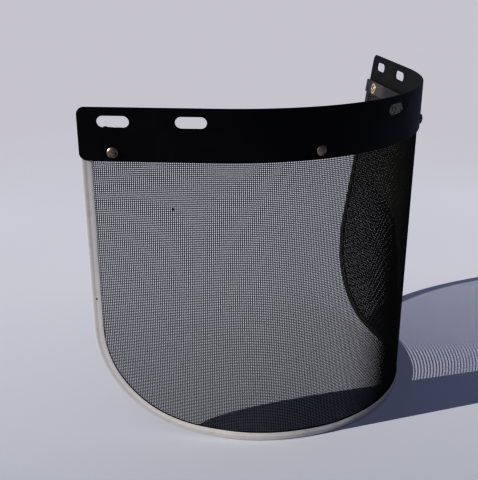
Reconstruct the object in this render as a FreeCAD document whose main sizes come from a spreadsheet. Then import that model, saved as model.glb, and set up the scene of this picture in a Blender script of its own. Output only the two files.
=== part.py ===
"""Screen of a wire-mesh face shield: a curved sheet of woven wire, a slotted brow band, a backing strip,
a metal channel round the lower edge, and four tubular rivets with their washers.

Frame: millimetres, +Z up, the bulging front faces -Y, and the row is symmetric about X = 0. The sheet stands
on its lower edge, and the origin is under the middle of its overall box.

The sheet is a ruled surface. Its rim, at the top, and its hem, at the bottom, are plan curves of one arc with
a straight wing at each end, and straight rulings join the two. Each layer is a loft between the same two
curves, set off to the front or to the back.
"""
import FreeCAD, Part
import math
import os

import Sketcher

Vector = FreeCAD.Vector

SIZES = [
    # alias, value, what it is
    ("SheetHeight", 203.0, "hem to rim"),
    ("RimRadius", 141.2, "bow of the middle layer at the rim"),
    ("RimHalfAngle", 47.75, "half the turn of the rim's bow, degrees"),
    ("HemRadius", 104.5, "bow of the middle layer at the hem"),
    ("HemHalfAngle", 59.65, "half the turn of the hem's bow, degrees"),
    ("HemForward", 8.5, "how far the hem stands in front of the rim"),
    ("BandHalfLength", 188.2, "middle of the brow band to its end, along the bow"),
    ("BandHeight", 28.5, "height of the brow band"),
    ("BandThickness", 1.0, "thickness of the brow band"),
    ("BandCorner", 4.0, "corner radius of the brow band"),
    ("SlotLength", 16.3, "hanging slot, end to end"),
    ("SlotWidth", 6.2, "hanging slot, across"),
    ("SlotLevel", 195.5, "height of the slots' centre line"),
    ("InnerSlotStation", 130.8, "middle to the inner slot pair, along the bow"),
    ("OuterSlotStation", 170.2, "middle to the outer slot pair, along the bow"),
    ("ScreenHalfWidth", 187.7, "middle to the channel's outer edge, along the bow"),
    ("MeshThickness", 0.6, "thickness of the woven cloth"),
    ("MeshTop", 183.2, "top edge of the cloth, behind the band"),
    ("ChannelLeg", 0.35, "thickness of the channel's metal"),
    ("ChannelDepth", 5.8, "width of the channel seen from the front"),
    ("ChannelTop", 183.8, "top ends of the channel, behind the band"),
    ("LayerGap", 0.05, "air between two layers"),
    ("CornerTightRadius", 70.0, "lower corner beside the wing"),
    ("CornerFlatRadius", 219.0, "lower corner beside the hem"),
    ("CornerFlatAngle", 8.4, "turn that the flat arc takes, degrees"),
    ("StripThickness", 0.8, "thickness of the backing strip"),
    ("StripBottom", 175.0, "lower edge of the backing strip"),
    ("StripTop", 184.4, "upper edge of the backing strip"),
    ("StripHalfLength", 187.9, "middle of the backing strip to its end"),
    ("RivetLevel", 179.3, "height of the rivets"),
    ("InnerRivetStation", 60.4, "middle to the inner rivet pair, along the bow"),
    ("OuterRivetStation", 171.2, "middle to the outer rivet pair, along the bow"),
    ("ShankRadius", 1.5, "tubular rivet's shank"),
    ("BoreRadius", 0.95, "bore of the rivet's tail"),
    ("HeadRadius", 3.1, "rivet's domed head"),
    ("HeadHeight", 1.5, "rivet's domed head"),
    ("HeadRim", 0.3, "straight edge of the head"),
    ("TailRadius", 2.4, "rolled tail"),
    ("HoleRadius", 1.6, "rivet holes"),
    ("WasherRadius", 4.1, "washer under the tail"),
    ("WasherThickness", 0.5, "washer under the tail"),
]

# how far the cutting sketches and pockets run past the layers, in millimetres
TRIM_REACH = 400.0
CORNER_MARGIN = 14.0
CORNER_CUT_DEPTH = 60.0
BAND_CORNER_MARGIN = 3.0
HOLE_CUT_DEPTH = 12.0

doc = FreeCAD.newDocument("face_shield_screen")
sheet = doc.addObject("Spreadsheet::Sheet", "Sizes")
for row, (alias, value, meaning) in enumerate(SIZES, start=1):
    sheet.set(f"A{row}", str(value))
    sheet.setAlias(f"A{row}", alias)
    sheet.set(f"B{row}", meaning)
doc.recompute()


def size(alias):
    """A driving dimension, read back from the sheet."""
    return float(sheet.get(alias))


def evaluate(formula):
    """Value of a short formula of sheet cells, for the sketches' starting geometry."""
    total = 0.0
    for term in formula.replace("-", "+-").split("+"):
        term = term.strip()
        if not term:
            continue
        sign = -1.0 if term.startswith("-") else 1.0
        value = 1.0
        for factor in term.lstrip("-").split("*"):
            factor = factor.strip()
            value *= size(factor[6:]) if factor.startswith("Sizes.") else float(factor)
        total += sign * value
    return total


# ---------------------------------------------------------------- the sheet's surface
def plan_point(station_on_arc, station_on_wing, radius, half_angle, forward):
    """Point and heading of a plan curve: first along its arc (as a share of it), then along its wing."""
    turn = math.radians(half_angle) * station_on_arc
    x = radius * math.sin(turn) + math.copysign(station_on_wing, station_on_arc) * math.cos(turn)
    y = radius * (1 - math.cos(turn)) + station_on_wing * math.sin(abs(turn)) - forward
    return Vector(x, y, 0)


def sheet_point(station, level):
    """Point of the middle layer, at a distance along the rim's bow and a height."""
    rim_arc = size("RimRadius") * math.radians(size("RimHalfAngle"))
    hem_arc = size("HemRadius") * math.radians(size("HemHalfAngle"))
    half = size("ScreenHalfWidth")
    share = max(-1.0, min(1.0, station / rim_arc))
    wing = max(0.0, abs(station) - rim_arc)
    hem_wing = wing * (half - hem_arc) / (half - rim_arc)
    rim = plan_point(share, wing, size("RimRadius"), size("RimHalfAngle"), 0.0)
    hem = plan_point(share, hem_wing, size("HemRadius"), size("HemHalfAngle"), size("HemForward"))
    drop = 1 - level / size("SheetHeight")
    return rim * (1 - drop) + hem * drop + Vector(0, 0, level)


def station_placement(station, level):
    """Placement on the middle layer: local Z looks out of the front, local Y climbs the sheet."""
    step = 0.5
    along = sheet_point(station + step, level) - sheet_point(station - step, level)
    up = sheet_point(station, level + step) - sheet_point(station, level - step)
    out = along.cross(up)
    return FreeCAD.Placement(sheet_point(station, level), FreeCAD.Rotation(along, up, out, "ZXY"))


# ---------------------------------------------------------------- sketch helpers
def new_sketch(body, name, role="XY_Plane", placement=None):
    """Sketch on one of the body's own planes, moved off it by the placement."""
    sketch = body.newObject("Sketcher::SketchObject", name)
    plane = [feature for feature in body.Origin.OriginFeatures if feature.Role == role][0]
    sketch.AttachmentSupport = [(plane, "")]
    sketch.MapMode = "FlatFace"
    if placement is not None:
        sketch.AttachmentOffset = placement
    return sketch


def bind(sketch, kind, geometry, start, expression):
    """A dimension that follows the sheet: kind, its geometry arguments, a starting value and its formula."""
    index = sketch.addConstraint(Sketcher.Constraint(kind, *geometry, start))
    name = f"{kind}{index}"
    sketch.renameConstraint(index, name)
    sketch.setExpression(f"Constraints.{name}", expression)


def layer_sketch(body, name, edge, front, back, half_length, end_inset):
    """Closed plan section of one layer at the rim or the hem.

    front and back are formulas for how far the layer's two faces stand off the middle layer, front positive.
    """
    radius_cell, angle_cell = f"Sizes.{edge}Radius", f"Sizes.{edge}HalfAngle"
    forward_cell = "Sizes.HemForward" if edge == "Hem" else "0"
    radius, angle = size(f"{edge}Radius"), math.radians(size(f"{edge}HalfAngle"))
    forward = size("HemForward") if edge == "Hem" else 0.0
    front_off, back_off = evaluate(front), evaluate(back)
    wing = size(half_length) - radius * angle - evaluate(end_inset)
    centre = Vector(0, radius - forward, 0)

    def on_arc(offset, side):
        return centre + Vector(side * math.sin(angle), -math.cos(angle), 0) * (radius + offset)

    def on_end(offset, side):
        return on_arc(offset, side) + Vector(side * math.cos(angle), math.sin(angle), 0) * wing

    def arc(offset):
        circle = Part.Circle(centre, Vector(0, 0, 1), radius + offset)
        return Part.ArcOfCircle(circle, -math.pi / 2 - angle, -math.pi / 2 + angle)

    sketch = new_sketch(body, name)
    if edge == "Rim":
        sketch.setExpression("AttachmentOffset.Base.z", "Sizes.SheetHeight")
    sketch.addGeometry([
        arc(front_off),                                                       # 0 front bow
        Part.LineSegment(on_arc(front_off, 1), on_end(front_off, 1)),         # 1 front, right wing
        Part.LineSegment(on_end(front_off, 1), on_end(back_off, 1)),          # 2 right end
        Part.LineSegment(on_end(back_off, 1), on_arc(back_off, 1)),           # 3 back, right wing
        arc(back_off),                                                        # 4 back bow
        Part.LineSegment(on_arc(back_off, -1), on_end(back_off, -1)),         # 5 back, left wing
        Part.LineSegment(on_end(back_off, -1), on_end(front_off, -1)),        # 6 left end
        Part.LineSegment(on_end(front_off, -1), on_arc(front_off, -1)),       # 7 front, left wing
    ], False)
    constraint = Sketcher.Constraint
    sketch.addConstraint([
        constraint("Tangent", 0, 2, 1, 1), constraint("Coincident", 1, 2, 2, 1),
        constraint("Coincident", 2, 2, 3, 1), constraint("Tangent", 4, 2, 3, 2),
        constraint("Tangent", 4, 1, 5, 1), constraint("Coincident", 5, 2, 6, 1),
        constraint("Coincident", 6, 2, 7, 1), constraint("Tangent", 0, 1, 7, 2),
        constraint("Coincident", 0, 3, 4, 3), constraint("PointOnObject", 0, 3, -2),
        constraint("Perpendicular", 1, 2), constraint("Perpendicular", 7, 6),
        constraint("Parallel", 1, 3), constraint("Parallel", 7, 5),
        constraint("Symmetric", 1, 2, 7, 1, -2),
    ])
    bind(sketch, "DistanceY", (-1, 1, 0, 3), centre.y, f"{radius_cell} - {forward_cell}")
    bind(sketch, "Radius", (0,), radius + front_off, f"{radius_cell} + ({front})")
    bind(sketch, "Radius", (4,), radius + back_off, f"{radius_cell} + ({back})")
    bind(sketch, "Angle", (1,), angle, f"{angle_cell} * 1 deg")
    bind(sketch, "Distance", (1,), wing,
         f"Sizes.{half_length} - {radius_cell} * {angle_cell} * pi / 180 - ({end_inset})")
    return sketch


def layer_body(name, front, back, half_length, end_inset="0"):
    """A whole layer, hem to rim, as a body with one ruled loft."""
    body = doc.addObject("PartDesign::Body", name)
    body.Label = name
    hem = layer_sketch(body, f"{name}_hem", "Hem", front, back, half_length, end_inset)
    rim = layer_sketch(body, f"{name}_rim", "Rim", front, back, half_length, end_inset)
    loft = body.newObject("PartDesign::AdditiveLoft", f"{name}_loft")
    loft.Profile = hem
    loft.Sections = [rim]
    loft.Ruled = True
    body.Tip = loft
    doc.recompute()
    return body


def cut(body, sketch, name, depth=None, upward=False):
    """Pocket that has to take material away: through everything, or centred on its sketch with a depth."""
    before = body.Shape.Volume
    pocket = body.newObject("PartDesign::Pocket", name)
    pocket.Profile = sketch
    pocket.Refine = False
    if depth is None:
        pocket.Type = "ThroughAll"
        pocket.Reversed = upward
    else:
        pocket.Type = "Length"
        pocket.SideType = "Symmetric"
        pocket.Length = depth
    body.Tip = pocket
    doc.recompute()
    if not body.Shape.Volume < before - 1e-3:
        raise RuntimeError(f"{name} cuts nothing")


def trim(body, name, level, above):
    """Cut off all that lies above, or below, a level given as a formula."""
    sketch = new_sketch(body, f"{name}_sketch")
    sketch.setExpression("AttachmentOffset.Base.z", level)
    corners = [Vector(across * TRIM_REACH, deep * TRIM_REACH, 0)
               for across, deep in ((-1, -1), (1, -1), (1, 1), (-1, 1))]
    for start, end in zip(corners, corners[1:] + corners[:1]):
        sketch.addGeometry(Part.LineSegment(start, end), False)
    cut(body, sketch, name, upward=above)


def cut_lower_corners(body, name, inset):
    """Round the two lower corners with a tight arc beside the wing and a flat arc beside the hem."""
    tight = size("CornerTightRadius")
    flat = size("CornerFlatRadius")
    turn = math.radians(size("CornerFlatAngle"))
    tight_centre = (tight, flat - (flat - tight) * math.cos(turn))
    flat_centre = (tight + (flat - tight) * math.sin(turn), flat)
    wing_level = 0.5 * tight
    for side, word in ((-1, "left"), (1, "right")):
        end = sheet_point(side * size("ScreenHalfWidth"), wing_level)
        inner = sheet_point(side * (size("ScreenHalfWidth") - tight), wing_level)
        along = (end - inner) * side
        along.z = 0
        rotation = FreeCAD.Rotation(along, Vector(0, 0, 1), Vector(along.y, -along.x, 0), "ZXY")
        place = FreeCAD.Placement(Vector(end.x, end.y, 0), rotation)

        def at(inward, up):
            return Vector(-side * inward, up, 0)

        def on_arc(centre, radius, angle):
            """Point of a corner arc, at an angle from straight below its centre towards the wing."""
            return at(centre[0] - radius * math.sin(angle), centre[1] - radius * math.cos(angle))

        def corner_arc(centre, radius, start, end_angle):
            return Part.Arc(on_arc(centre, radius, start), on_arc(centre, radius, 0.5 * (start + end_angle)),
                            on_arc(centre, radius, end_angle))

        hem_end = on_arc(flat_centre, flat - inset, 0)
        wing_end = on_arc(tight_centre, tight - inset, math.pi / 2)
        outside = [wing_end, at(-CORNER_MARGIN, tight_centre[1]), at(-CORNER_MARGIN, -CORNER_MARGIN),
                   at(flat_centre[0], -CORNER_MARGIN), hem_end]
        sketch = new_sketch(body, f"{name}_{word}_sketch", placement=place)
        sketch.addGeometry([
            corner_arc(flat_centre, flat - inset, 0, turn),
            corner_arc(tight_centre, tight - inset, turn, math.pi / 2),
        ] + [Part.LineSegment(start, stop) for start, stop in zip(outside, outside[1:])], False)
        cut(body, sketch, f"{name}_{word}", depth=CORNER_CUT_DEPTH)


# ---------------------------------------------------------------- holes and slots
def cut_round_hole(body, name, station, level):
    """Rivet hole square through a layer."""
    sketch = new_sketch(body, f"{name}_sketch", placement=station_placement(station, level))
    sketch.addGeometry(Part.Circle(Vector(0, 0, 0), Vector(0, 0, 1), size("HoleRadius")), False)
    sketch.addConstraint(Sketcher.Constraint("Coincident", 0, 3, -1, 1))
    bind(sketch, "Radius", (0,), size("HoleRadius"), "Sizes.HoleRadius")
    cut(body, sketch, name, depth=HOLE_CUT_DEPTH)


def cut_slot(body, name, station):
    """Hanging slot with round ends, its long side along the bow."""
    half_run = (size("SlotLength") - size("SlotWidth")) / 2
    half_width = size("SlotWidth") / 2
    sketch = new_sketch(body, f"{name}_sketch", placement=station_placement(station, size("SlotLevel")))

    def end_arc(side):
        circle = Part.Circle(Vector(side * half_run, 0, 0), Vector(0, 0, 1), half_width)
        turn = 0 if side > 0 else math.pi
        return Part.ArcOfCircle(circle, turn - math.pi / 2, turn + math.pi / 2)

    sketch.addGeometry([
        end_arc(1),
        Part.LineSegment(Vector(half_run, half_width, 0), Vector(-half_run, half_width, 0)),
        end_arc(-1),
        Part.LineSegment(Vector(-half_run, -half_width, 0), Vector(half_run, -half_width, 0)),
    ], False)
    constraint = Sketcher.Constraint
    sketch.addConstraint([
        constraint("Tangent", 0, 2, 1, 1), constraint("Tangent", 1, 2, 2, 1),
        constraint("Tangent", 2, 2, 3, 1), constraint("Tangent", 3, 2, 0, 1),
        constraint("Horizontal", 1), constraint("Symmetric", 0, 3, 2, 3, -1, 1),
    ])
    bind(sketch, "Radius", (0,), half_width, "Sizes.SlotWidth / 2")
    bind(sketch, "Distance", (1,), 2 * half_run, "Sizes.SlotLength - Sizes.SlotWidth")
    cut(body, sketch, name, depth=HOLE_CUT_DEPTH)


RIVETS = [
    # name, side, station
    ("left_end", -1, "OuterRivetStation"),
    ("left", -1, "InnerRivetStation"),
    ("right", 1, "InnerRivetStation"),
    ("right_end", 1, "OuterRivetStation"),
]


def drill_for_rivets(body):
    for name, side, station in RIVETS:
        cut_round_hole(body, f"{body.Name}_hole_{name}", side * size(station), size("RivetLevel"))


# ---------------------------------------------------------------- the layers
MESH_FRONT = "0.5 * Sizes.MeshThickness"
GROOVE_FRONT = "0.5 * Sizes.MeshThickness + Sizes.LayerGap"
CHANNEL_FRONT = GROOVE_FRONT + " + Sizes.ChannelLeg"
BAND_BACK = CHANNEL_FRONT + " + Sizes.LayerGap"
BAND_FRONT = BAND_BACK + " + Sizes.BandThickness"
STRIP_BACK = BAND_BACK + " + Sizes.StripThickness"


def behind(formula):
    """The same distance, on the back of the middle layer."""
    return "-" + formula.replace("+ ", "- ")


def round_band_corners(body, half_length, radius):
    """Round the four corners of a band, each with a pocket outside a quarter circle."""
    margin = radius + BAND_CORNER_MARGIN
    for side, side_word in ((-1, "left"), (1, "right")):
        for up, up_word in ((-1, "lower"), (1, "upper")):
            edge_level = size("SheetHeight") - (size("BandHeight") if up < 0 else 0.0)
            name = f"{body.Name}_{up_word}_{side_word}"
            place = station_placement(side * (half_length - radius), edge_level - up * radius)
            diagonal = radius * math.sqrt(0.5)
            outside = [Vector(side * across, up * high, 0) for across, high in
                       ((0, radius), (0, margin), (margin, margin), (margin, 0), (radius, 0))]
            sketch = new_sketch(body, f"{name}_sketch", placement=place)
            sketch.addGeometry([
                Part.Arc(outside[-1], Vector(side * diagonal, up * diagonal, 0), outside[0]),
            ] + [Part.LineSegment(start, stop) for start, stop in zip(outside, outside[1:])], False)
            cut(body, sketch, name, depth=HOLE_CUT_DEPTH)


def make_brow_band():
    band = layer_body("brow_band", BAND_FRONT, BAND_BACK, "BandHalfLength")
    trim(band, "brow_band_lower_edge", "Sizes.SheetHeight - Sizes.BandHeight", above=False)
    round_band_corners(band, size("BandHalfLength"), size("BandCorner"))
    stations = [0.0]
    for cell in ("InnerSlotStation", "OuterSlotStation"):
        stations += [-size(cell), size(cell)]
    for index, station in enumerate(stations, start=1):
        cut_slot(band, f"slot_{index}", station)
    drill_for_rivets(band)
    return band


def make_backing_strip():
    strip = layer_body("backing_strip", behind(BAND_BACK), behind(STRIP_BACK), "StripHalfLength")
    trim(strip, "backing_strip_lower_edge", "Sizes.StripBottom", above=False)
    trim(strip, "backing_strip_upper_edge", "Sizes.StripTop", above=True)
    drill_for_rivets(strip)
    return strip


def make_mesh_screen():
    """The cloth, as a thin sheet of the same outline and thickness."""
    inset = "Sizes.ChannelLeg + Sizes.LayerGap"
    cloth = layer_body("mesh_screen", MESH_FRONT, behind(MESH_FRONT), "ScreenHalfWidth", inset)
    trim(cloth, "mesh_screen_lower_edge", inset, above=False)
    trim(cloth, "mesh_screen_upper_edge", "Sizes.MeshTop", above=True)
    cut_lower_corners(cloth, "mesh_screen_corner", evaluate(inset))
    drill_for_rivets(cloth)
    return cloth


def make_edge_channel():
    """A folded channel: the outer skin, less the groove that grips the cloth, less the window inside it."""
    skin = layer_body("channel_skin", CHANNEL_FRONT, behind(CHANNEL_FRONT), "ScreenHalfWidth")
    trim(skin, "channel_skin_top", "Sizes.ChannelTop", above=True)
    cut_lower_corners(skin, "channel_skin_corner", 0.0)
    groove = layer_body("channel_groove", GROOVE_FRONT, behind(GROOVE_FRONT), "ScreenHalfWidth",
                        "Sizes.ChannelLeg")
    trim(groove, "channel_groove_bottom", "Sizes.ChannelLeg", above=False)
    cut_lower_corners(groove, "channel_groove_corner", size("ChannelLeg"))
    wide = "3 * Sizes.StripThickness"  # clears both lips
    window = layer_body("channel_window", wide, behind(wide), "ScreenHalfWidth", "Sizes.ChannelDepth")
    trim(window, "channel_window_bottom", "Sizes.ChannelDepth", above=False)
    cut_lower_corners(window, "channel_window_corner", size("ChannelDepth"))
    hollow = doc.addObject("Part::Fuse", "channel_hollow")
    hollow.Base, hollow.Tool = groove, window
    channel = doc.addObject("Part::Cut", "edge_channel")
    channel.Base, channel.Tool = skin, hollow
    channel.Label = "edge_channel"
    doc.recompute()
    return channel


# ---------------------------------------------------------------- rivets and washers
def vertex_at(sketch, geometry, point):
    """Which end of a sketch edge, 1 or 2, lies on a point: an arc's ends run anticlockwise."""
    return 1 if sketch.getPoint(geometry, 1).distanceToPoint(point) < 1e-6 else 2


def close_profile(sketch, points, arcs):
    """Add a closed outline: straight edges between the points, and an arc after each point named in arcs."""
    geometry = []
    for index, point in enumerate(points):
        following = points[(index + 1) % len(points)]
        if index in arcs:
            geometry.append(Part.Arc(point, arcs[index], following))
        else:
            geometry.append(Part.LineSegment(point, following))
    sketch.addGeometry(geometry, False)
    for index in range(len(geometry)):
        following = (index + 1) % len(geometry)
        here = vertex_at(sketch, index, points[following])
        there = vertex_at(sketch, following, points[following])
        sketch.addConstraint(Sketcher.Constraint("Coincident", index, here, following, there))


def revolve(body, sketch, name):
    revolution = body.newObject("PartDesign::Revolution", name)
    revolution.Profile = sketch
    revolution.ReferenceAxis = (sketch, ["V_Axis"])
    revolution.Angle = 360.0
    body.Tip = revolution
    doc.recompute()


def make_rivet(name, placement):
    """Tubular rivet about local Z: a domed head on the band and a tail rolled over the washer."""
    body = doc.addObject("PartDesign::Body", name)
    body.Label = name
    head_seat = evaluate(BAND_FRONT)
    tail_seat = evaluate(behind(STRIP_BACK)) - size("WasherThickness") - 2 * size("LayerGap")
    rim_top = head_seat + size("HeadRim")
    crown = head_seat + size("HeadHeight")
    head, shank, bore, tail = size("HeadRadius"), size("ShankRadius"), size("BoreRadius"), size("TailRadius")
    dome_radius = (head ** 2 + (crown - rim_top) ** 2) / (2 * (crown - rim_top))
    half_turn = 0.5 * math.asin(head / dome_radius)
    dome_middle = Vector(dome_radius * math.sin(half_turn),
                         crown - dome_radius * (1 - math.cos(half_turn)), 0)
    roll = (tail - bore) / 2
    points = [
        Vector(0, crown, 0), Vector(head, rim_top, 0), Vector(head, head_seat, 0),
        Vector(shank, head_seat, 0), Vector(shank, tail_seat, 0), Vector(tail, tail_seat, 0),
        Vector(bore, tail_seat, 0), Vector(bore, head_seat - shank, 0), Vector(0, head_seat - shank, 0),
    ]
    sketch = new_sketch(body, f"{name}_profile", "XZ_Plane")
    close_profile(sketch, points, {0: dome_middle, 5: Vector(bore + roll, tail_seat - roll, 0)})
    revolve(body, sketch, f"{name}_turned")
    body.Placement = placement
    return body


def make_washer(name, placement):
    """Plain washer between the backing strip and the rivet's tail."""
    body = doc.addObject("PartDesign::Body", name)
    body.Label = name
    seat = evaluate(behind(STRIP_BACK)) - size("LayerGap")
    ring_plane = FreeCAD.Placement(Vector(0, 0, seat), FreeCAD.Rotation())
    sketch = new_sketch(body, f"{name}_ring", placement=ring_plane)
    sketch.addGeometry([
        Part.Circle(Vector(0, 0, 0), Vector(0, 0, 1), size("WasherRadius")),
        Part.Circle(Vector(0, 0, 0), Vector(0, 0, 1), size("HoleRadius")),
    ], False)
    for circle, cell in ((0, "WasherRadius"), (1, "HoleRadius")):
        sketch.addConstraint(Sketcher.Constraint("Coincident", circle, 3, -1, 1))
        bind(sketch, "Radius", (circle,), size(cell), f"Sizes.{cell}")
    pad = body.newObject("PartDesign::Pad", f"{name}_pad")
    pad.Profile = sketch
    pad.setExpression("Length", "Sizes.WasherThickness")
    pad.Reversed = True
    body.Tip = pad
    doc.recompute()
    body.Placement = placement
    return body


# ---------------------------------------------------------------- assembly
pieces = [make_brow_band(), make_backing_strip(), make_mesh_screen(), make_edge_channel()]
for rivet_name, rivet_side, rivet_station in RIVETS:
    place = station_placement(rivet_side * size(rivet_station), size("RivetLevel"))
    pieces.append(make_rivet(f"rivet_{rivet_name}", place))
    pieces.append(make_washer(f"washer_{rivet_name}", place))
doc.recompute()

# the origin lies under the middle of the overall box
boxes = [piece.Shape.optimalBoundingBox(False, False) for piece in pieces]
front_most = min(box.YMin for box in boxes)
back_most = max(box.YMax for box in boxes)
to_origin = Vector(0, -0.5 * (front_most + back_most), 0)
for piece in pieces:
    piece.Placement = FreeCAD.Placement(to_origin, FreeCAD.Rotation()).multiply(piece.Placement)
doc.recompute()

for item in doc.Objects:
    if "Invalid" in item.State or "Error" in item.State:
        raise RuntimeError(f"{item.Name} failed: {item.State}")
for piece in pieces:
    if piece.Shape.isNull() or not piece.Shape.isValid() or not piece.Shape.Solids:
        raise RuntimeError(f"{piece.Label} has no valid solid")

os.makedirs("parts", exist_ok=True)
for piece in pieces:
    piece.Shape.exportStep(os.path.join("parts", f"{piece.Label}.step"))
    box = piece.Shape.optimalBoundingBox(False, False)
    print(f"{piece.Label}: {len(piece.Shape.Solids)} solid, {piece.Shape.Volume:.1f} mm3, "
          f"x {box.XMin:.2f}..{box.XMax:.2f} y {box.YMin:.2f}..{box.YMax:.2f} "
          f"z {box.ZMin:.2f}..{box.ZMax:.2f}")
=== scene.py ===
"""Looks of a wire-mesh face shield screen: woven wire, folded edge channel, slotted brow band,
backing strip, four tubular rivets and their washers, on a pale floor.

The sheet's own coordinates are millimetres: run is the distance along the cloth from its middle,
station the same distance along the rim, level the height, and stand_off how far a layer stands
in front of the cloth.
"""

import math
import random

import bmesh
import bpy
import numpy as np
from mathutils import Matrix, Vector


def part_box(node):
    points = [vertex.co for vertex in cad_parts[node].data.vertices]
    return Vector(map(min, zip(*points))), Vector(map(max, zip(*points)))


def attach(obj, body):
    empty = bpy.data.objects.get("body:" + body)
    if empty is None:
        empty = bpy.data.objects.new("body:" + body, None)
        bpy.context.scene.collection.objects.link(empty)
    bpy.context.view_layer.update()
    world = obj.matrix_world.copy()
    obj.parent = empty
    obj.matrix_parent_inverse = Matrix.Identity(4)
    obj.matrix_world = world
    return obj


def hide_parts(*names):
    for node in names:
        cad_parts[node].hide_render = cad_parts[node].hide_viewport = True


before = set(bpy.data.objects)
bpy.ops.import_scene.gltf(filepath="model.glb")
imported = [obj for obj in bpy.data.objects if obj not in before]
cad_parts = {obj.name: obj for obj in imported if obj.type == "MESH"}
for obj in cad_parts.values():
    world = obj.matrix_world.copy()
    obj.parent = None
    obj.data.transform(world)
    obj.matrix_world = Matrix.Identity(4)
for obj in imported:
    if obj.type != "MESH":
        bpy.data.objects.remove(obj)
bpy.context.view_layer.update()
rng = random.Random(7)
MM = 0.001

# ---------------------------------------------------------------- the stage
YAW = math.radians(52.610)          # how far the screen is turned from facing the camera
unyaw = Matrix.Rotation(-YAW, 3, "Z")

FOCAL = 60.83                       # lens, millimetres on a 36 mm frame
PITCH, ROLL = math.radians(20.292), math.radians(-1.8275)
AIM_X, AIM_UP, DISTANCE = -86.505, 10.293, 495.312

FLOOR_RADIUS, FLOOR_SIDES = 0.85, 96
# painted shade: the paper's colour darkens towards the front, along NEARER
PAPER_DARK, PAPER_LIGHT, PAPER_NEAR_SHADE = (0.70, 0.702, 0.712), (0.73, 0.732, 0.74), (0.45, 0.468, 0.50)
NEARER = Vector((0.25, -1.0, 0.0))  # the way in which the paper darkens
NEARER_START, NEARER_END = -0.22, 0.32

KEY_AZIMUTH, KEY_ELEVATION = math.radians(20.95), math.radians(22.25)
KEY_STRENGTH, KEY_WIDTH, KEY_COLOUR = 5.25, math.radians(0.3), (1.0, 0.975, 0.965)
FILL = (0.168, 0.183, 0.285)
BACKDROP = (0.548, 0.533, 0.592)
COMBINED = 3                        # place of the curve that acts on all three colours
TONE_CURVE = ((0.006, 0.0018), (0.02, 0.008), (0.06, 0.033), (0.12, 0.078), (0.2, 0.155),
              (0.3, 0.285), (0.45, 0.46))

# ---------------------------------------------------------------- sizes, in millimetres and radians
HEIGHT = 203.0
RIM_RADIUS, RIM_TURN = 141.2, math.radians(47.75)
HEM_RADIUS, HEM_TURN = 104.5, math.radians(59.65)
HEM_FORWARD = 8.5
HALF_SCREEN = 187.7
RIM_ARC = RIM_RADIUS * RIM_TURN
HEM_ARC = HEM_RADIUS * HEM_TURN
TIGHT_RADIUS, FLAT_RADIUS, FLAT_TURN = 70.0, 219.0, math.radians(8.4)
TIGHT_LEVEL = FLAT_RADIUS - (FLAT_RADIUS - TIGHT_RADIUS) * math.cos(FLAT_TURN)
FLAT_INWARD = TIGHT_RADIUS + (FLAT_RADIUS - TIGHT_RADIUS) * math.sin(FLAT_TURN)

CHANNEL_FRONT = 0.70
BAND_BACK, BAND_THICKNESS = 0.75, 1.0
STRIP_THICKNESS = 0.8
BAND_FRONT = BAND_BACK + BAND_THICKNESS
STRIP_BACK = BAND_BACK + STRIP_THICKNESS
BAND_HALF, BAND_CORNER, BAND_EDGE = 188.2, 4.0, 0.16
STRIP_HALF, STRIP_CORNER, STRIP_EDGE = 187.9, 1.0, 0.12
# painted sheen: a paler stretch of the strip round each end rivet, standing in for the light it
# reflects
SHEEN_STATION, SHEEN_RADIUS = 164.5, 18.0     # paler stretch at each end of the strip
SLOT_LENGTH, SLOT_WIDTH, SLOT_LEVEL = 16.3, 6.2, 195.5
SLOT_STATIONS = (-170.2, -130.8, 0.0, 130.8, 170.2)

RIVETS = {"left_end": -171.2, "left": -60.4, "right": 60.4, "right_end": 171.2}
RIVET_LEVEL, RIVET_HOLE = 179.3, 1.6
HEAD_RADIUS, HEAD_RIM, HEAD_RISE = 3.1, 0.25, 1.25
SHANK_RADIUS, BORE_RADIUS, BORE_END = 1.5, 0.93, -0.6
ROLL_MIDDLE, ROLL_RADIUS, ROLL_OUTER = 1.675, 0.74, 2.3
WASHER_OUTER, WASHER_INNER, WASHER_THICKNESS = 4.1, 1.62, 0.5
WASHER_FRONT = -(STRIP_BACK + 0.05)
WASHER_BACK = WASHER_FRONT - WASHER_THICKNESS

WIRE_PITCH, WIRE_RADIUS, WIRE_WAVE = 1.06, 0.22, 0.112
WIRE_DRIFT = 0.01                   # how far a single wire is out of its place
SWAYS = ((0.09, 41.0, 67.0), (0.03, 17.0, -23.0))   # depth, length along a wire and across wires
CLOTH_INSET, CLOTH_TOP = 0.5, 183.2
FIRST_WEFT, LAST_GAP, EDGE_GAP = 1.2, 0.3, 0.2
WIRE_PIECES = 3                     # pieces that each set of wires is shared among

PINHOLE, PINHOLE_RADIUS = (-184.66, 91.3), 0.8          # run and level of the pit in the channel
CLOG, CLOG_HALF = (-140.45, 147.5), (0.72, 0.30, 0.66)  # the cell that the coating has filled

BAND_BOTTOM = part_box("brow_band")[0].z / MM
STRIP_BOTTOM, STRIP_TOP = (corner.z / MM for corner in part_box("backing_strip"))
CHANNEL_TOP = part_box("edge_channel")[1].z / MM
SHIFT_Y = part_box("edge_channel")[0].y / MM + HEM_FORWARD + CHANNEL_FRONT
BOW_CENTRE_Y = (SHIFT_Y + RIM_RADIUS) * MM


# ---------------------------------------------------------------- the sheet's surface
def plan(share, wing, radius, turn, forward, stand_off):
    """Plan curve of the rim or hem: a share of its arc, then a distance along its straight wing."""
    angle = turn * share
    side = np.where(share < 0, -1.0, 1.0)
    reach = radius + stand_off
    x = reach * np.sin(angle) + side * wing * np.cos(angle)
    y = radius - reach * np.cos(angle) + wing * np.sin(np.abs(angle)) - forward
    return x, y


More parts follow.
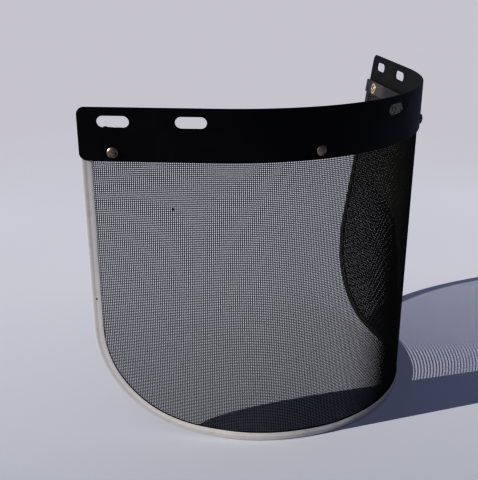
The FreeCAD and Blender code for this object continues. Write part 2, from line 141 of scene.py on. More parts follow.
def sheet(station, level, stand_off=0.0):
    """Points of a layer, in metres, from rim stations and levels."""
    station, level, stand_off = np.broadcast_arrays(
        np.asarray(station, float), np.asarray(level, float), np.asarray(stand_off, float))
    share = np.clip(station / RIM_ARC, -1.0, 1.0)
    wing = np.maximum(np.abs(station) - RIM_ARC, 0.0)
    hem_wing = wing * (HALF_SCREEN - HEM_ARC) / (HALF_SCREEN - RIM_ARC)
    rim_x, rim_y = plan(share, wing, RIM_RADIUS, RIM_TURN, 0.0, stand_off)
    hem_x, hem_y = plan(share, hem_wing, HEM_RADIUS, HEM_TURN, HEM_FORWARD, stand_off)
    drop = 1.0 - level / HEIGHT
    x = rim_x + (hem_x - rim_x) * drop
    y = rim_y + (hem_y - rim_y) * drop + SHIFT_Y
    return np.stack([x, y, level], -1) * MM


def station_of(run, level):
    """Rim station of the point that lies a run along the cloth at a level."""
    run, level = np.asarray(run, float), np.asarray(level, float)
    arc = RIM_ARC + (HEM_ARC - RIM_ARC) * (1.0 - level / HEIGHT)
    along_arc = np.minimum(np.abs(run) / arc, 1.0) * RIM_ARC
    wing = np.maximum(np.abs(run) - arc, 0.0) * (HALF_SCREEN - RIM_ARC) / (HALF_SCREEN - arc)
    return np.sign(run) * (along_arc + wing)


def cloth(run, level, stand_off=0.0):
    """Points of the cloth, in metres, from runs and levels."""
    return sheet(station_of(run, level), level, stand_off)


def lowest_level(run, inset):
    """Level of the cloth's rounded lower edge at a run."""
    inward = HALF_SCREEN - abs(run)
    tight, flat = TIGHT_RADIUS - inset, FLAT_RADIUS - inset
    if inward >= FLAT_INWARD:
        return inset
    if inward >= TIGHT_RADIUS - tight * math.sin(FLAT_TURN):
        return FLAT_RADIUS - math.sqrt(flat ** 2 - (FLAT_INWARD - inward) ** 2)
    return TIGHT_LEVEL - math.sqrt(max(tight ** 2 - (TIGHT_RADIUS - inward) ** 2, 0.0))


def widest_run(level, inset):
    """Run of the cloth's side edge at a level."""
    tight, flat = TIGHT_RADIUS - inset, FLAT_RADIUS - inset
    if level >= TIGHT_LEVEL:
        return HALF_SCREEN - inset
    if level >= TIGHT_LEVEL - tight * math.cos(FLAT_TURN):
        return HALF_SCREEN - TIGHT_RADIUS + math.sqrt(tight ** 2 - (TIGHT_LEVEL - level) ** 2)
    return HALF_SCREEN - FLAT_INWARD + math.sqrt(max(flat ** 2 - (FLAT_RADIUS - level) ** 2, 0.0))


# ---------------------------------------------------------------- mesh helpers
def link(name, mesh, material, *, replaces=()):
    """A finished piece of the object, riding on the part's only body."""
    piece = bpy.data.objects.new(name, mesh)
    bpy.context.scene.collection.objects.link(piece)
    mesh.materials.append(material)
    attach(piece, "root")
    for node in replaces:
        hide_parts(node)
    return piece


def tube_quads(rings, sides):
    """Quads round a tube whose points are stored ring by ring."""
    first = np.arange(rings - 1)[:, None] * sides
    side = np.arange(sides)[None, :]
    beside = (side + 1) % sides
    return np.stack([first + side, first + beside, first + sides + beside, first + sides + side],
                    -1).reshape(-1, 4)


def closed_square_tube(rings):
    """Quads of a four-sided tube, with a cap on both ends."""
    last = 4 * (rings - 1)
    caps = np.array([[3, 2, 1, 0], [last, last + 1, last + 2, last + 3]])
    return np.concatenate([tube_quads(rings, 4), caps])


def quad_mesh(name, points, quads):
    """Mesh of quads from arrays, turned right side out."""
    a, b, c, d = (points[quads[:, k]] for k in range(4))
    volume = np.einsum("ij,ij->i", a, np.cross(b, c) + np.cross(c, d)).sum()
    if volume < 0:
        quads = quads[:, ::-1]
    mesh = bpy.data.meshes.new(name)
    mesh.vertices.add(len(points))
    mesh.vertices.foreach_set("co", np.ascontiguousarray(points, np.float32).ravel())
    mesh.loops.add(quads.size)
    mesh.loops.foreach_set("vertex_index", np.ascontiguousarray(quads, np.int32).ravel())
    mesh.polygons.add(len(quads))
    mesh.polygons.foreach_set("loop_start", np.arange(0, quads.size, 4, dtype=np.int32))
    mesh.update(calc_edges=True)
    mesh.validate()
    return mesh


def mesh_from(shape, name=None, mesh=None, crease=40):
    """The edited shape as a mesh, shaded smooth except at edges sharper than the crease angle."""
    bmesh.ops.recalc_face_normals(shape, faces=shape.faces)
    mesh = mesh or bpy.data.meshes.new(name)
    shape.to_mesh(mesh)
    shape.free()
    mesh.polygons.foreach_set("use_smooth", [True] * len(mesh.polygons))
    mesh.set_sharp_from_angle(angle=math.radians(crease))
    return mesh


# ---------------------------------------------------------------- finishes
# clean or deep colour, then dull or worn colour, and for the metal how metallic it is
# the band's inner faces take a lighter copy of its black: painted light for the sheen the inside
# catches
FIBRE_OUTSIDE = (0.0030, 0.0030, 0.0029), (0.0048, 0.0048, 0.0044)
FIBRE_INSIDE_PAINTED_LIGHT = (0.0085, 0.0085, 0.0068), (0.0120, 0.0118, 0.0092)
METAL_LIP = (0.70, 0.665, 0.60), (0.56, 0.53, 0.48), 0.60
# the bead and inside rows are darker, duller copies of the same aluminium: painted shade
METAL_BEAD_PAINTED_SHADE = (0.54, 0.518, 0.48), (0.43, 0.413, 0.383), 0.45
METAL_INSIDE_PAINTED_SHADE = (0.022, 0.022, 0.018), (0.014, 0.014, 0.012), 0.35


class Value:
    """A shader socket that takes part in Python arithmetic."""

    def __init__(self, finish, socket):
        self.finish, self.socket = finish, socket

    def __add__(self, other):
        return self.finish.maths("ADD", self, other)

    __radd__ = __add__

    def __sub__(self, other):
        return self.finish.maths("SUBTRACT", self, other)

    def __rsub__(self, other):
        return self.finish.maths("SUBTRACT", other, self)

    def __mul__(self, other):
        return self.finish.maths("MULTIPLY", self, other)

    __rmul__ = __mul__


class Finish:
    """One procedural material, built node by node."""

    def __init__(self, name):
        self.material = bpy.data.materials.new(name)
        self.material.use_nodes = True
        self.tree = self.material.node_tree
        self.tree.nodes.clear()
        self.place = self.node("ShaderNodeTexCoord", {}, {}, "Object")

    def node(self, kind, settings, sockets, output=0):
        """Any node: its settings first, then its sockets' values or links."""
        node = self.tree.nodes.new(kind)
        for key, setting in settings.items():
            setattr(node, key, setting)
        for key, value in sockets.items():
            if isinstance(value, Value):
                self.tree.links.new(value.socket, node.inputs[key])
            else:
                node.inputs[key].default_value = value
        return Value(self, node.outputs[output]) if node.outputs else None

    def maths(self, operation, left, right):
        return self.node("ShaderNodeMath", {"operation": operation}, {0: left, 1: right})

    def vector(self, operation, sockets, output=0):
        return self.node("ShaderNodeVectorMath", {"operation": operation},
                         {0: self.place, **sockets}, output)

    def noise(self, scale, detail=3.0, roughness=0.55, stretch=None):
        """Noise over the object's coordinates, which may be stretched along the axes."""
        place = self.vector("MULTIPLY", {1: stretch}) if stretch else self.place
        return self.node("ShaderNodeTexNoise", {}, {
            "Vector": place, "Scale": scale, "Detail": detail, "Roughness": roughness})

    def between(self, value, low, high, start=0.0, end=1.0):
        """start below low, end above high, and a soft step between them."""
        return self.node("ShaderNodeMapRange", {"interpolation_type": "SMOOTHSTEP"}, {
            "Value": value, "From Min": low, "From Max": high, "To Min": start, "To Max": end})

    def patches(self, low, high, *noise):
        """Soft-edged patches: 0 where the noise is below low, 1 where it is above high."""
        return self.between(self.noise(*noise), low, high)

    def near(self, point, radius):
        """1 at a point, in metres, fading to 0 at the radius, in millimetres."""
        distance = self.vector("DISTANCE", {1: tuple(point)}, "Value")
        return self.between(distance, 0.4 * radius * MM, radius * MM, 1.0, 0.0)

    def mix(self, factor, first, second):
        return self.node("ShaderNodeMix", {"data_type": "RGBA"},
                         {0: factor, 6: colour(first), 7: colour(second)}, 2)

    def bump(self, height, strength, distance):
        return self.node("ShaderNodeBump", {}, {
            "Strength": strength, "Distance": distance, "Height": height})

    def principled(self, **sockets):
        """The Principled shader, its sockets named with underscores."""
        named = {key.replace("_", " "): value for key, value in sockets.items()}
        return self.node("ShaderNodeBsdfPrincipled", {}, named)

    def surface(self, shader):
        self.node("ShaderNodeOutputMaterial", {}, {"Surface": shader})
        return self.material


def colour(value):
    return value if isinstance(value, Value) else (*value, 1.0)


def band_finish(name, deep, worn):
    """Black hard fibre: satin, faint orange peel, patches of rubs and a little dust."""
    f = Finish(name)
    patches = f.patches(0.42, 0.68, 38.0, 4.0)
    dust = f.patches(0.66, 0.74, 2600.0, 2.0, 0.6) * f.patches(0.45, 0.7, 60.0, 3.0)
    rubs = f.patches(0.60, 0.72, 45.0, 5.0, 0.65, (1.0, 1.0, 26.0))
    base = f.mix(patches, deep, worn)
    base = f.mix(rubs * 0.35, base, (0.012, 0.0115, 0.010))
    base = f.mix(dust * 0.4, base, (0.06, 0.06, 0.06))
    peel = f.noise(1500.0, 2.0, 0.5) + rubs * 0.25
    return f.surface(f.principled(
        Base_Color=base, Roughness=0.42 + patches * 0.12 + dust * 0.2, Specular_IOR_Level=0.14,
        Normal=f.bump(peel, 0.22, 0.00008)))


def strip_finish():
    """Dark grey fibre strip, smoother than the band, with a painted sheen that makes it paler near
    its ends.
    """
    f = Finish("strip_grey")
    patches = f.patches(0.4, 0.7, 55.0, 4.0)
    streaks = f.patches(0.55, 0.7, 30.0, 4.0, 0.6, (1.0, 1.0, 40.0))
    base = f.mix(patches, (0.016, 0.0145, 0.0135), (0.024, 0.022, 0.020))
    # painted sheen: the strip's colour is made paler round each end rivet
    for end in (-1, 1):
        painted_sheen = f.near(sheet(end * SHEEN_STATION, RIVET_LEVEL, -BAND_BACK), SHEEN_RADIUS)
        base = f.mix(painted_sheen, base, (0.050, 0.045, 0.041))
    base = f.mix(streaks * 0.3, base, (0.085, 0.078, 0.071))
    return f.surface(f.principled(
        Base_Color=base, Roughness=0.36 + patches * 0.10, Specular_IOR_Level=0.5,
        Normal=f.bump(f.noise(900.0, 2.0), 0.15, 0.00006)))


def wire_finish():
    """Black coated steel wire, a little grey where the coating is thin, and dusty in places."""
    f = Finish("wire_black")
    thin = f.patches(0.50, 0.72, 170.0, 3.0, 0.6)
    dusty = f.patches(0.46, 0.7, 24.0, 4.0)
    base = f.mix(thin, (0.0175, 0.0170, 0.0130), (0.025, 0.024, 0.019))
    base = f.mix(dusty * 0.3, base, (0.032, 0.0315, 0.027))
    return f.surface(f.principled(
        Base_Color=base, Roughness=0.48 + thin * 0.10 + dusty * 0.10, Specular_IOR_Level=0.06,
        Normal=f.bump(f.noise(5200.0, 1.0), 0.1, 0.00003)))


def channel_finish(name, clean, dull, metal):
    """Mill-finish aluminium: lengthwise rolling marks, dull oxide, small scratches and one pit."""
    f = Finish(name)
    oxide = f.patches(0.42, 0.70, 75.0, 5.0, 0.62)
    grain = f.noise(900.0, 3.0, 0.6)
    scratch = f.patches(0.63, 0.70, 160.0, 5.0, 0.7, (1.0, 1.0, 14.0))
    pit = f.near(cloth(*PINHOLE, CHANNEL_FRONT), PINHOLE_RADIUS)
    base = f.mix(oxide, clean, dull)
    base = f.mix(scratch * 0.45, base, tuple(0.45 * part for part in clean))
    base = f.mix(pit * 0.9, base, (0.02, 0.018, 0.016))
    return f.surface(f.principled(
        Base_Color=base, Metallic=metal - oxide * 0.22,
        Roughness=0.42 + oxide * 0.14 + grain * 0.10,
        Normal=f.bump(grain + scratch * 0.6, 0.28, 0.00006)))


def rivet_finish():
    """Nickel plate over brass, tarnished towards bronze in patches."""
    f = Finish("rivet_nickel")
    tarnish = f.patches(0.40, 0.66, 420.0, 4.0, 0.6)
    pits = f.patches(0.64, 0.72, 2400.0, 2.0)
    base = f.mix(tarnish, (0.33, 0.28, 0.21), (0.105, 0.072, 0.045))
    base = f.mix(pits * 0.6, base, (0.10, 0.085, 0.07))
    return f.surface(f.principled(
        Base_Color=base, Metallic=0.95 - pits * 0.5, Roughness=0.36 + tarnish * 0.14 + pits * 0.2,
        Normal=f.bump(f.noise(1300.0, 2.0), 0.2, 0.00006)))


def washer_finish():
    """Dull brass with brown stains."""
    f = Finish("washer_brass")
    stain = f.patches(0.45, 0.68, 520.0, 4.0, 0.6)
    base = f.mix(stain, (0.64, 0.58, 0.39), (0.38, 0.30, 0.16))
    return f.surface(f.principled(
        Base_Color=base, Metallic=0.80 - stain * 0.2, Roughness=0.38 + stain * 0.18,
        Normal=f.bump(f.noise(1600.0, 2.0), 0.2, 0.00005)))


def floor_finish():
    """Pale paper with the faintest mottling and painted shade darker towards the front, fading out
    at its edge.
    """
    f = Finish("floor_paper")
    base = f.mix(f.patches(0.3, 0.7, 3.2, 1.0, 0.4), PAPER_DARK, PAPER_LIGHT)
    # painted shade: the paper is darkened towards the front
    nearer = f.vector("DOT_PRODUCT", {1: tuple(unyaw @ NEARER)}, "Value")
    base = f.mix(f.between(nearer, NEARER_START, NEARER_END), base, PAPER_NEAR_SHADE)
    paper = f.principled(Base_Color=base, Roughness=0.9, Specular_IOR_Level=0.2,
                         Normal=f.bump(f.noise(700.0, 2.0), 0.12, 0.0001))
    clear = f.node("ShaderNodeBsdfTransparent", {}, {})
    fade = f.between(f.vector("LENGTH", {}, "Value"), 0.55 * FLOOR_RADIUS, FLOOR_RADIUS)
    return f.surface(f.node("ShaderNodeMixShader", {}, {0: fade, 1: paper, 2: clear}))


# ---------------------------------------------------------------- camera, floor and light
def make_camera():
    """Camera that looks down on the left of the bulging front."""
    right = unyaw @ Vector((1, 0, 0))
    ahead = unyaw @ Vector((0, math.cos(PITCH), -math.sin(PITCH)))
    up = unyaw @ Vector((0, math.sin(PITCH), math.cos(PITCH)))
    spot = unyaw @ Vector((AIM_X, -DISTANCE * math.cos(PITCH),
                           HEIGHT / 2 + AIM_UP + DISTANCE * math.sin(PITCH)))
    spot = (spot + Vector((0, SHIFT_Y, 0))) * MM
    tilted_right = math.cos(ROLL) * right - math.sin(ROLL) * up
    tilted_up = math.sin(ROLL) * right + math.cos(ROLL) * up
    axes = Matrix((tilted_right, tilted_up, -ahead)).transposed()
    camera = bpy.data.objects.new("camera", bpy.data.cameras.new("camera"))
    bpy.context.scene.collection.objects.link(camera)
    camera.data.lens = FOCAL
    camera.data.clip_start = 0.01
    camera.matrix_world = Matrix.LocRotScale(spot, axes.to_quaternion(), None)
    bpy.context.scene.camera = camera


def make_floor():
    """Round sheet of paper under the screen."""
    turns = [2 * math.pi * k / FLOOR_SIDES for k in range(FLOOR_SIDES)]
    rim = [(FLOOR_RADIUS * math.cos(turn), FLOOR_RADIUS * math.sin(turn), 0) for turn in turns]
    mesh = bpy.data.meshes.new("floor")
    mesh.from_pydata(rim, [], [tuple(range(FLOOR_SIDES))])
    mesh.materials.append(floor_finish())
    floor = bpy.data.objects.new("floor", mesh)
    bpy.context.scene.collection.objects.link(floor)


def make_key():
    """A low key from the left."""
    heading = unyaw @ Vector((math.cos(KEY_ELEVATION) * math.cos(KEY_AZIMUTH),
                              math.cos(KEY_ELEVATION) * math.sin(KEY_AZIMUTH),
                              -math.sin(KEY_ELEVATION)))
    key = bpy.data.objects.new("key", bpy.data.lights.new("key", "SUN"))
    key.data.energy = KEY_STRENGTH
    key.data.angle = KEY_WIDTH
    key.data.color = KEY_COLOUR
    key.rotation_euler = heading.to_track_quat("-Z", "Y").to_euler()
    bpy.context.scene.collection.objects.link(key)


def make_surroundings():
    """A faint blue fill all round, and a pale backdrop that only the camera sees."""
    world = bpy.data.worlds.new("fill")
    world.use_nodes = True
    nodes, links = world.node_tree.nodes, world.node_tree.links
    fill = nodes["Background"]
    fill.inputs["Color"].default_value = (*FILL, 1.0)
    backdrop = nodes.new("ShaderNodeBackground")
    backdrop.inputs["Color"].default_value = (*BACKDROP, 1.0)
    seen = nodes.new("ShaderNodeLightPath")
    choose = nodes.new("ShaderNodeMixShader")
    links.new(seen.outputs["Is Camera Ray"], choose.inputs[0])
    links.new(fill.outputs[0], choose.inputs[1])
    links.new(backdrop.outputs[0], choose.inputs[2])
    links.new(choose.outputs[0], nodes["World Output"].inputs["Surface"])
    bpy.context.scene.world = world


def set_tone():
    """A contrast curve, so that black finishes look black at believable values."""
    tone = bpy.context.scene.view_settings
    tone.view_transform = "Standard"
    tone.use_curve_mapping = True
    contrast = tone.curve_mapping.curves[COMBINED]
    for light, shown in TONE_CURVE:
        contrast.points.new(light, shown)
    tone.curve_mapping.update()


# ---------------------------------------------------------------- woven wire
def sway(position, place):
    """Slight waviness of a wire along its length, nearly the same in its neighbours."""
    return sum(depth * np.sin(position / along + place / across) for depth, along, across in SWAYS)


def wire_tube(run, level, stand_off, sideways):
    """Points, quads and flat places of a four-sided wire; sideways is the way its flanks face."""
    rings = []
    for across, out in ((1, 0), (0, 1), (-1, 0), (0, -1)):
        flank = across * WIRE_RADIUS
        rings.append(cloth(run + sideways[0] * flank, level + sideways[1] * flank,
                           stand_off + out * WIRE_RADIUS))
    where = np.repeat(np.stack([run, level], 1), 4, 0)
    return np.stack(rings, 1).reshape(-1, 3), closed_square_tube(len(run)), where


def wire_piece(name, wires, material):
    """Many wires as one mesh, with a map that lays the cloth out flat."""
    points, quads, where, count = [], [], [], 0
    for wire_points, wire_quads, wire_where in wires:
        points.append(wire_points)
        quads.append(wire_quads + count)
        where.append(wire_where)
        count += len(wire_points)
    points, quads, where = np.concatenate(points), np.concatenate(quads), np.concatenate(where)
    mesh = quad_mesh(name, points, quads)
    mesh.polygons.foreach_set("use_smooth", [True] * len(mesh.polygons))
    corner = np.empty(len(mesh.loops), np.int32)
    mesh.loops.foreach_get("vertex_index", corner)
    low, high = where.min(0), where.max(0)
    layout = mesh.uv_layers.new(name="OFBake")
    flat = ((where - low) / (high - low))[corner].astype(np.float32)
    layout.data.foreach_set("uv", flat.ravel())
    link(name, mesh, material, replaces=["mesh_screen"])


def beyond_ends(crossed):
    """Places of the crossing wires that a wire meets, and one more at each end."""
    return np.concatenate([[crossed[0] - 1], crossed, [crossed[-1] + 1]])


def weave():
    """Plain weave: each wire passes over one crossing wire and under the next."""
    material = wire_finish()
    columns = int((HALF_SCREEN - CLOTH_INSET) / WIRE_PITCH)
    warp_runs = np.arange(-columns, columns + 1) * WIRE_PITCH
    weft_levels = np.arange(FIRST_WEFT, CLOTH_TOP - LAST_GAP, WIRE_PITCH)
    warps, wefts = [], []
    for i, run in enumerate(warp_runs):
        foot = lowest_level(run, CLOTH_INSET)
        rows = np.nonzero(weft_levels > foot + EDGE_GAP)[0]
        level = np.concatenate([[foot], weft_levels[rows], [CLOTH_TOP]])
        wave = WIRE_WAVE * np.where((beyond_ends(rows) + i) % 2, 1.0, -1.0)
        drift = rng.uniform(-WIRE_DRIFT, WIRE_DRIFT)
        warps.append(wire_tube(run + sway(level, run) + drift, level, wave, (1, 0)))
    for j, level in enumerate(weft_levels):
        edge = widest_run(level, CLOTH_INSET)
        crossed = np.nonzero(np.abs(warp_runs) < edge - EDGE_GAP)[0]
        run = np.concatenate([[-edge], warp_runs[crossed], [edge]])
        wave = WIRE_WAVE * np.where((beyond_ends(crossed) + j) % 2, -1.0, 1.0)
        drift = rng.uniform(-WIRE_DRIFT, WIRE_DRIFT)
        wefts.append(wire_tube(run, level + sway(run, level) + drift, wave, (0, 1)))
    for name, wires in (("warp_wires", warps), ("weft_wires", wefts)):
        share = math.ceil(len(wires) / WIRE_PIECES)
        for part in range(WIRE_PIECES):
            wire_piece(f"{name}_{part + 1}", wires[part * share:(part + 1) * share], material)
    make_clog(material)


def axes_at(run_point, run_step, level_point, level_step, surface):
    """Unit directions along and up a surface, between two neighbouring points each way."""
    along = Vector(surface(*run_step)) - Vector(surface(*run_point))
    rise = Vector(surface(*level_step)) - Vector(surface(*level_point))
    return along.normalized(), rise.normalized()


def make_clog(material):
    """Lump of coating that fills one cell of the cloth."""
    run, level = CLOG
    along, rise = axes_at(CLOG, (run + 0.5, level), CLOG, (run, level + 0.5), cloth)
    out = along.cross(rise)
    centre = Vector(cloth(*CLOG))
    half_along, half_out, half_rise = CLOG_HALF
    shape = bmesh.new()
    bmesh.ops.create_icosphere(shape, subdivisions=3, radius=1.0)
    for vertex in shape.verts:
        x, y, z = vertex.co
        swell = 1.0 + 0.12 * math.sin(5 * x + 2) + 0.10 * math.sin(7 * z)
        lump = half_along * x * along + half_rise * z * rise + half_out * y * out
        vertex.co = centre + swell * MM * lump
    link("cell_clog", mesh_from(shape, "cell_clog"), material,
         replaces=["mesh_screen"])


# ---------------------------------------------------------------- edge channel
CHANNEL_SECTION = [
    # distance inward from the edge and stand-off: the lip, then the bead
    (5.80, 0.50), (5.76, 0.64), (5.60, 0.70), (4.30, 0.71), (3.00, 0.70), (2.25, 0.71),
    (2.00, 0.72), (1.70, 0.72), (1.30, 0.69), (0.85, 0.61), (0.48, 0.49), (0.20, 0.32),
    (0.04, 0.12), (0.04, -0.12), (0.20, -0.32), (0.48, -0.50),
    # the back leg, then the groove that holds the cloth
    (0.85, -0.63), (1.30, -0.70), (1.70, -0.72), (2.25, -0.71), (3.60, -0.69), (5.20, -0.69),
    (5.65, -0.63), (5.78, -0.50), (5.74, -0.38), (5.20, -0.35), (2.40, -0.36), (0.50, -0.36),
    (0.50, 0.36), (2.40, 0.36), (5.20, 0.35), (5.78, 0.36),
]
BEAD_STARTS, BACK_STARTS = 4, 16     # places in the section where the finish changes
LIP, BEAD, INSIDE = range(3)         # the channel's finishes
LIP_STARTS, LIP_REACH = 2.4, 3.3     # where the unevenness of the lip begins, and over what width
FOLD_ABOVE = 0.4                     # stand-offs beyond this belong to the outside of the fold
PATH_STEP = 2.2


def channel_path():
    """Left half of the screen's outline: inward distance, level and the inward direction."""
    path = [(0.0, level, 1.0, 0.0) for level in np.arange(CHANNEL_TOP, TIGHT_LEVEL, -PATH_STEP)]
    bends = (((TIGHT_RADIUS, TIGHT_LEVEL), TIGHT_RADIUS, math.pi / 2, FLAT_TURN),
             ((FLAT_INWARD, FLAT_RADIUS), FLAT_RADIUS, FLAT_TURN, 0.0))
    for centre, radius, start, end in bends:
        steps = math.ceil(radius * (start - end) / PATH_STEP)
        for k in range(steps):
            angle = start + (end - start) * k / steps
            across, up = math.sin(angle), math.cos(angle)
            path.append((centre[0] - radius * across, centre[1] - radius * up, across, up))
    path += [(inward, 0.0, 0.0, 1.0) for inward in np.arange(FLAT_INWARD, HALF_SCREEN, PATH_STEP)]
    return path


def make_channel():
    """Folded channel round both sides and the bottom, slightly uneven at its lip and bead."""
    left = [(inward - HALF_SCREEN, *rest) for inward, *rest in channel_path()]
    right = [(-run, level, -across, up) for run, level, across, up in reversed(left)]
    whole = np.array(left + right)
    distance = np.arange(len(whole)) * PATH_STEP
    lip_wave = 0.10 * np.sin(distance / 17.0) + 0.07 * np.sin(distance / 6.3 + 1.0)
    bead_wave = 0.05 * np.sin(distance / 11.0 + 2.0) + 0.03 * np.sin(distance / 4.7)
    rings = []
    for inward, out in CHANNEL_SECTION:
        lip_share = max(0.0, (inward - LIP_STARTS) / LIP_REACH)
        swell = (1.0 - lip_share) * bead_wave if abs(out) > FOLD_ABOVE else 0.0 * bead_wave
        reach = inward + lip_share * lip_wave
        rings.append(cloth(whole[:, 0] + whole[:, 2] * reach, whole[:, 1] + whole[:, 3] * reach,
                           out * (1.0 + swell)))
    sides = len(CHANNEL_SECTION)
    mesh = quad_mesh("edge_channel_folded", np.stack(rings, 1).reshape(-1, 3),
                     tube_quads(len(whole), sides))
    shape = bmesh.new()
    shape.from_mesh(mesh)
    open_ends = [edge for edge in shape.edges if edge.is_boundary]
    bmesh.ops.holes_fill(shape, edges=open_ends, sides=0)
    mesh_from(shape, mesh=mesh, crease=50)
    front = channel_finish("channel_aluminium", *METAL_LIP)
    link("edge_channel_folded", mesh, front, replaces=["edge_channel"])
    mesh.materials.append(channel_finish("channel_bead_painted_shade", *METAL_BEAD_PAINTED_SHADE))
    mesh.materials.append(channel_finish("channel_inside_painted_shade", *METAL_INSIDE_PAINTED_SHADE))
    # painted shade: the bead, the back leg, the groove and the lip's cut edge take the darker
    # copies of the aluminium
    finishes = [INSIDE] + [LIP] * (BEAD_STARTS - 1) + [BEAD] * (BACK_STARTS - BEAD_STARTS)
    finishes += [INSIDE] * (sides - BACK_STARTS)
    for face in mesh.polygons:
        face.material_index = finishes[face.index % sides]


# ---------------------------------------------------------------- brow band and backing strip
CORNER_STEPS, SLOT_STEPS, HOLE_SIDES = 8, 14, 20
BEND_START, BEND_STEP = 2.0, 2.5     # cuts across the blanks, which let them bend
INWARD_FACING = -0.6                 # how far a face looks into the bow to take the inside finish


def arc_points(centre, radius, start, end, steps):
    """Points along an arc, both ends included."""
    return [(centre[0] + radius * math.cos(start + (end - start) * k / steps),
             centre[1] + radius * math.sin(start + (end - start) * k / steps))
            for k in range(steps + 1)]


def rounded_box(half_length, bottom, top, corner):
    """Outline of a long blank with rounded corners."""
    points = []
    for side, level, start in ((1, bottom + corner, -math.pi / 2), (1, top - corner, 0.0),
                               (-1, top - corner, math.pi / 2), (-1, bottom + corner, math.pi)):
        centre = (side * (half_length - corner), level)
        points += arc_points(centre, corner, start, start + math.pi / 2, CORNER_STEPS)
    return points


def obround(station, level, length, width):
    """Outline of a slot with round ends."""
    run, quarter = (length - width) / 2, math.pi / 2
    return (arc_points((station + run, level), width / 2, -quarter, quarter, SLOT_STEPS)
            + arc_points((station - run, level), width / 2, quarter, 3 * quarter, SLOT_STEPS))


def blank_mesh(name, loops, thickness, edge_round):
    """Flat blank from its outline and holes, with rounded edges."""
    curve = bpy.data.curves.new(name, "CURVE")
    curve.dimensions, curve.fill_mode = "2D", "BOTH"
    for loop in loops:
        spline = curve.splines.new("POLY")
        spline.points.add(len(loop) - 1)
        for point, (x, z) in zip(spline.points, loop):
            point.co = (x, z, 0, 1)
        spline.use_cyclic_u = True
    curve.extrude = thickness / 2 - edge_round
    curve.bevel_depth, curve.bevel_resolution = edge_round, 2
    curve.offset = -edge_round
    blank = bpy.data.objects.new(name, curve)
    bpy.context.scene.collection.objects.link(blank)
    evaluated = blank.evaluated_get(bpy.context.evaluated_depsgraph_get())
    mesh = bpy.data.meshes.new_from_object(evaluated)
    bpy.data.objects.remove(blank)
    bpy.data.curves.remove(curve)
    return mesh


def plate(name, outline, holes, thickness, middle_off, edge_round):
    """Blank with holes, bent to the sheet."""
    mesh = blank_mesh(name, [outline, *holes], thickness, edge_round)
    shape = bmesh.new()
    shape.from_mesh(mesh)
    bmesh.ops.remove_doubles(shape, verts=shape.verts, dist=0.002)
    half = max(x for x, _ in outline)
    for cut in np.arange(-half + BEND_START, half - 1.0, BEND_STEP):
        bmesh.ops.bisect_plane(shape, geom=shape.verts[:] + shape.edges[:] + shape.faces[:],
                               dist=1e-4, plane_co=(cut, 0, 0), plane_no=(1, 0, 0))
    flat = np.array([(v.co.x, v.co.y, v.co.z + middle_off) for v in shape.verts])
    for vertex, point in zip(shape.verts, sheet(*flat.T)):
        vertex.co = point
    return mesh_from(shape, mesh=mesh, crease=32)


def make_bands():
    """Brow band with its slots, its ragged fibre, and the strip behind the cloth."""
    whole_turn = 2 * math.pi
    rivet_holes = [arc_points((station, RIVET_LEVEL), RIVET_HOLE, 0,
                              whole_turn * (HOLE_SIDES - 1) / HOLE_SIDES, HOLE_SIDES - 1)
                   for station in RIVETS.values()]
    slots = [obround(station, SLOT_LEVEL, SLOT_LENGTH, SLOT_WIDTH) for station in SLOT_STATIONS]
    band = plate("brow_band_fibre", rounded_box(BAND_HALF, BAND_BOTTOM, HEIGHT, BAND_CORNER),
                 rivet_holes + slots, BAND_THICKNESS, BAND_BACK + BAND_THICKNESS / 2, BAND_EDGE)
    front = band_finish("band_black", *FIBRE_OUTSIDE)
    link("brow_band_fibre", band, front, replaces=["brow_band"])
    band.materials.append(band_finish("band_black_inside_painted_light", *FIBRE_INSIDE_PAINTED_LIGHT))
    # painted light: faces that look into the bow take the lighter copy of the black
    for face in band.polygons:
        outward = Vector((face.center.x, face.center.y - BOW_CENTRE_Y, 0)).normalized()
        if face.normal.dot(outward) < INWARD_FACING:
            face.material_index = 1
    make_slot_burr(front)
    strip = plate("backing_strip_fibre",
                  rounded_box(STRIP_HALF, STRIP_BOTTOM, STRIP_TOP, STRIP_CORNER),
                  rivet_holes, STRIP_THICKNESS, -BAND_BACK - STRIP_THICKNESS / 2, STRIP_EDGE)
    link("backing_strip_fibre", strip, strip_finish(),
         replaces=["backing_strip"])


def make_slot_burr(material):
    """Ragged fibre left along the lower edge of the left outer slot by the punch."""
    stations = SLOT_STATIONS[0] + np.linspace(-5.2, 4.6, 24)
    edge = SLOT_LEVEL - SLOT_WIDTH / 2
    root = edge - 0.15
    ragged = np.array([rng.uniform(0.0, 0.22) for _ in stations])
    peak = 0.50 * np.exp(-((stations - stations[3]) / 1.6) ** 2)
    height = 0.03 + peak + ragged
    height[[0, -1]] = 0.02
    middle = BAND_BACK + BAND_THICKNESS / 2 + 0.15 * np.sin(stations * 1.7)
    rings = [sheet(stations, root, middle - 0.16), sheet(stations, root, middle + 0.16),
             sheet(stations, edge + height, middle + 0.05),
             sheet(stations, edge + height, middle - 0.05)]
    mesh = quad_mesh("slot_burr", np.stack(rings, 1).reshape(-1, 3),
                     closed_square_tube(len(stations)))
    link("slot_burr", mesh, material, replaces=["brow_band"])


# ---------------------------------------------------------------- rivets and washers
TURNED_SIDES = 44


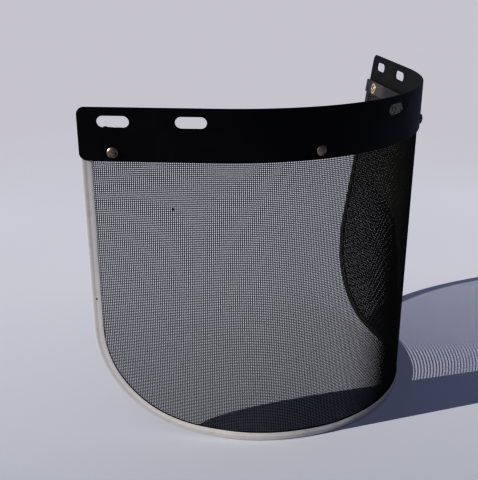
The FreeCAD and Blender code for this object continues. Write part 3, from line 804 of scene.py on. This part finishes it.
def turned(name, profile, place, ripple=None):
    """Mesh turned about local Z from (radius, height) points; ripple moves the rolled tail."""
    shape = bmesh.new()
    rings = []
    for radius, height in profile:
        if radius < 1e-6:
            rings.append([shape.verts.new(place @ (Vector((0, 0, height)) * MM))])
            continue
        ring = []
        for k in range(TURNED_SIDES):
            angle = 2 * math.pi * k / TURNED_SIDES
            spread, lift = ripple(radius, height, angle) if ripple else (0.0, 0.0)
            point = Vector(((radius + spread) * math.cos(angle),
                            (radius + spread) * math.sin(angle), height + lift))
            ring.append(shape.verts.new(place @ (point * MM)))
        rings.append(ring)
    closed = len(rings[0]) > 1
    for lower, upper in zip(rings, rings[1:] + (rings[:1] if closed else [])):
        for k in range(TURNED_SIDES):
            corners = [lower[k % len(lower)], lower[(k + 1) % len(lower)],
                       upper[(k + 1) % len(upper)], upper[k % len(upper)]]
            shape.faces.new(list(dict.fromkeys(corners)))
    return mesh_from(shape, name, crease=45)


def rivet_profile():
    """From the crown of the domed head round to the rolled tail and up its bore."""
    seat = BAND_FRONT + 0.01
    tail = WASHER_BACK - 0.05
    dome = [(HEAD_RADIUS * math.sin(t), seat + HEAD_RIM + HEAD_RISE * math.cos(t))
            for t in np.linspace(0, math.pi / 2, 12)]
    roll = [(ROLL_MIDDLE + ROLL_RADIUS * math.cos(t), tail - 0.05 + ROLL_RADIUS * math.sin(t))
            for t in np.linspace(0, -math.pi, 10)]
    under_head = [(HEAD_RADIUS, seat + 0.10), (HEAD_RADIUS - 0.1, seat), (SHANK_RADIUS, seat)]
    bore = [(BORE_RADIUS, tail + 0.3), (BORE_RADIUS, BORE_END), (0.0, BORE_END + 0.1)]
    return ([(0.0, dome[0][1])] + dome[1:] + under_head
            + [(SHANK_RADIUS, tail), (ROLL_OUTER, tail)] + roll + bore)


def washer_profile():
    """Flat ring with eased edges and a slightly dished back."""
    return [(WASHER_INNER, WASHER_FRONT - 0.05), (WASHER_INNER + 0.06, WASHER_FRONT),
            (WASHER_OUTER - 0.10, WASHER_FRONT), (WASHER_OUTER, WASHER_FRONT - 0.12),
            (WASHER_OUTER, WASHER_BACK + 0.14), (WASHER_OUTER - 0.12, WASHER_BACK),
            (WASHER_OUTER - 0.5, WASHER_BACK - 0.03), (WASHER_INNER + 0.5, WASHER_BACK + 0.02),
            (WASHER_INNER + 0.08, WASHER_BACK), (WASHER_INNER, WASHER_BACK + 0.06)]


def rivet_place(station):
    """Local Z out of the front, local Y up the sheet."""
    level = RIVET_LEVEL
    along, rise = axes_at((station - 0.5, level), (station + 0.5, level),
                          (station, level - 0.5), (station, level + 0.5), sheet)
    out = along.cross(rise).normalized()
    axes = Matrix((along, out.cross(along), out)).transposed()
    return Matrix.LocRotScale(Vector(sheet(station, level)), axes.to_quaternion(), None)


def make_rivets():
    """Four tubular rivets, each with a washer under its rolled tail."""
    nickel, brass = rivet_finish(), washer_finish()
    for name, station in RIVETS.items():
        place = rivet_place(station) @ Matrix.Rotation(rng.uniform(0, 6.3), 4, "Z")
        phase = rng.uniform(0, 6.3)

        def petals(radius, height, angle, phase=phase):
            """The tail's roll is split into six uneven petals."""
            if height > WASHER_BACK or radius < 1.0:
                return 0.0, 0.0
            lobe = abs(math.sin(3 * angle + phase + 0.3 * math.sin(angle)))
            return -0.16 * (1 - lobe) ** 2, 0.26 * (1 - lobe) ** 3

        rivet = turned(f"rivet_tubular_{name}", rivet_profile(), place, petals)
        link(f"rivet_tubular_{name}", rivet, nickel,
             replaces=[f"rivet_{name}"])
        washer = turned(f"washer_plain_{name}", washer_profile(), place)
        link(f"washer_plain_{name}", washer, brass,
             replaces=[f"washer_{name}"])


make_camera()
make_floor()
make_key()
make_surroundings()
set_tone()
weave()
make_channel()
make_bands()
make_rivets()

bpy.context.view_layer.update()
